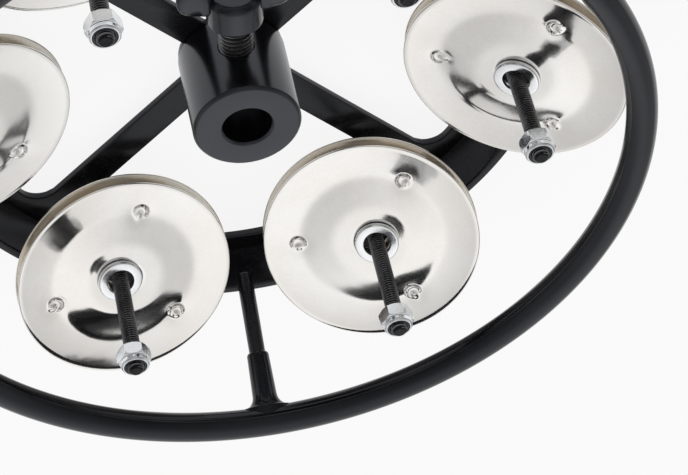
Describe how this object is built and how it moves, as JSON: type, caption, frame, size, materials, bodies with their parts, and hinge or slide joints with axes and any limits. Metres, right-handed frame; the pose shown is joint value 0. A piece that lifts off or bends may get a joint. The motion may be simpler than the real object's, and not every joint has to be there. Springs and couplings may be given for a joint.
{
  "type": "hi-hat tambourine",
  "caption": "Hi-hat tambourine: a spoked wheel on a clamp hub carries pairs of loose nickel jingles on long bolts inside a raised round guard ring.",
  "frame": {"origin": "on the hub's axis, at the level of the bolt heads' undersides, which the part stands on", "axes": "+Z along the hub's axis toward the guard ring and the bolts' free ends; -Y toward the clamp wing"},
  "size_m": [0.1812, 0.1812, 0.0499],
  "materials": {
    "painted_black": "satin black paint",
    "hoop_black": "smooth semi-gloss black coating",
    "satin_dark_metal": "satin dark grey, turned",
    "black_oxide": "black oxide, threaded",
    "bright_nickel": "bright nickel plate",
    "bright_zinc": "bright zinc plate",
    "dark_nylon": "matte"
  },
  "bodies": {
    "frame": {"wheel": "painted_black", "hub": "satin_dark_metal", "outer_ring": "hoop_black", "strut_1": "painted_black", "strut_2": "painted_black", "strut_3": "painted_black", "jingle_bolt_1": "black_oxide", "spacer_1": "painted_black", "lock_nut_1": "bright_zinc", "nut_insert_1": "dark_nylon", "jingle_bolt_2": "black_oxide", "spacer_2": "painted_black", "lock_nut_2": "bright_zinc", "nut_insert_2": "dark_nylon", "jingle_bolt_3": "black_oxide", "spacer_3": "painted_black", "lock_nut_3": "bright_zinc", "nut_insert_3": "dark_nylon", "jingle_bolt_4": "black_oxide", "spacer_4": "painted_black", "lock_nut_4": "bright_zinc", "nut_insert_4": "dark_nylon", "jingle_bolt_5": "black_oxide", "spacer_5": "painted_black", "lock_nut_5": "bright_zinc", "nut_insert_5": "dark_nylon", "jingle_bolt_6": "black_oxide", "spacer_6": "painted_black", "lock_nut_6": "bright_zinc", "nut_insert_6": "dark_nylon"},
    "clamp_screw": {"clamp_screw": "black_oxide"},
    "clamp_wing": {"clamp_wing": "satin_dark_metal"},
    "lower_jingle_1": {"lower_jingle_1": "bright_nickel"},
    "upper_jingle_1": {"upper_jingle_1": "bright_nickel"},
    "washer_1": {"washer_1": "bright_zinc"},
    "lower_jingle_2": {"lower_jingle_2": "bright_nickel"},
    "upper_jingle_2": {"upper_jingle_2": "bright_nickel"},
    "washer_2": {"washer_2": "bright_zinc"},
    "lower_jingle_3": {"lower_jingle_3": "bright_nickel"},
    "upper_jingle_3": {"upper_jingle_3": "bright_nickel"},
    "washer_3": {"washer_3": "bright_zinc"},
    "lower_jingle_4": {"lower_jingle_4": "bright_nickel"},
    "upper_jingle_4": {"upper_jingle_4": "bright_nickel"},
    "washer_4": {"washer_4": "bright_zinc"},
    "lower_jingle_5": {"lower_jingle_5": "bright_nickel"},
    "upper_jingle_5": {"upper_jingle_5": "bright_nickel"},
    "washer_5": {"washer_5": "bright_zinc"},
    "lower_jingle_6": {"lower_jingle_6": "bright_nickel"},
    "upper_jingle_6": {"upper_jingle_6": "bright_nickel"},
    "washer_6": {"washer_6": "bright_zinc"}
  },
  "joints": [
    {"name": "clamp_feed", "type": "slide", "parent": "frame", "child": "clamp_screw", "axis": [0, 1, 0], "range_m": [0, 0.003]},
    {"name": "clamp_turn", "type": "hinge", "parent": "clamp_screw", "child": "clamp_wing", "pos_m": [0, -0.0245, 0.0137], "axis": [0, 1, 0], "range_deg": [0, 864.5]},
    {"name": "lower_jingle_1_slide", "type": "slide", "parent": "frame", "child": "lower_jingle_1", "axis": [0, 0, 1], "range_m": [0, 0.0087]},
    {"name": "upper_jingle_1_slide", "type": "slide", "parent": "lower_jingle_1", "child": "upper_jingle_1", "axis": [0, 0, 1], "range_m": [0, 0.004]},
    {"name": "washer_1_spin", "type": "hinge", "parent": "upper_jingle_1", "child": "washer_1", "pos_m": [0.0631, 0, 0.02109], "axis": [-0.342, 0, 0.9397], "continuous": true},
    {"name": "lower_jingle_2_slide", "type": "slide", "parent": "frame", "child": "lower_jingle_2", "axis": [0, 0, 1], "range_m": [-0.00075, 0.00878]},
    {"name": "upper_jingle_2_slide", "type": "slide", "parent": "lower_jingle_2", "child": "upper_jingle_2", "axis": [0, 0, 1], "range_m": [0, 0.004]},
    {"name": "washer_2_spin", "type": "hinge", "parent": "upper_jingle_2", "child": "washer_2", "pos_m": [0.03155, 0.05465, 0.02164], "axis": [-0.1587, -0.2748, 0.9483], "continuous": true},
    {"name": "lower_jingle_3_slide", "type": "slide", "parent": "frame", "child": "lower_jingle_3", "axis": [0, 0, 1], "range_m": [0, 0.00733]},
    {"name": "upper_jingle_3_slide", "type": "slide", "parent": "lower_jingle_3", "child": "upper_jingle_3", "axis": [0, 0, 1], "range_m": [0, 0.004]},
    {"name": "washer_3_spin", "type": "hinge", "parent": "upper_jingle_3", "child": "washer_3", "pos_m": [-0.03155, 0.05465, 0.02143], "axis": [0.1913, -0.3314, 0.9239], "continuous": true},
    {"name": "lower_jingle_4_slide", "type": "slide", "parent": "frame", "child": "lower_jingle_4", "axis": [0, 0, 1], "range_m": [-0.0027, 0.0037]},
    {"name": "upper_jingle_4_slide", "type": "slide", "parent": "lower_jingle_4", "child": "upper_jingle_4", "axis": [0, 0, 1], "range_m": [0, 0.00303]},
    {"name": "washer_4_spin", "type": "hinge", "parent": "upper_jingle_4", "child": "washer_4", "pos_m": [-0.0631, 0, 0.02466], "axis": [0.4384, 0, 0.8988], "continuous": true},
    {"name": "lower_jingle_5_slide", "type": "slide", "parent": "frame", "child": "lower_jingle_5", "axis": [0, 0, 1], "range_m": [0, 0.0087]},
    {"name": "upper_jingle_5_slide", "type": "slide", "parent": "lower_jingle_5", "child": "upper_jingle_5", "axis": [0, 0, 1], "range_m": [0, 0.004]},
    {"name": "washer_5_spin", "type": "hinge", "parent": "upper_jingle_5", "child": "washer_5", "pos_m": [-0.03155, -0.05465, 0.02109], "axis": [0.171, 0.2962, 0.9397], "continuous": true},
    {"name": "lower_jingle_6_slide", "type": "slide", "parent": "frame", "child": "lower_jingle_6", "axis": [0, 0, 1], "range_m": [-0.0004, 0.00775]},
    {"name": "upper_jingle_6_slide", "type": "slide", "parent": "lower_jingle_6", "child": "upper_jingle_6", "axis": [0, 0, 1], "range_m": [0, 0.004]},
    {"name": "washer_6_spin", "type": "hinge", "parent": "upper_jingle_6", "child": "washer_6", "pos_m": [0.03155, -0.05465, 0.02162], "axis": [-0.1792, 0.3104, 0.9336], "continuous": true}
  ],
  "couplings": [
    {"joint": "clamp_turn", "follows": "clamp_feed", "rad_per_m": 5026.5}
  ]
}
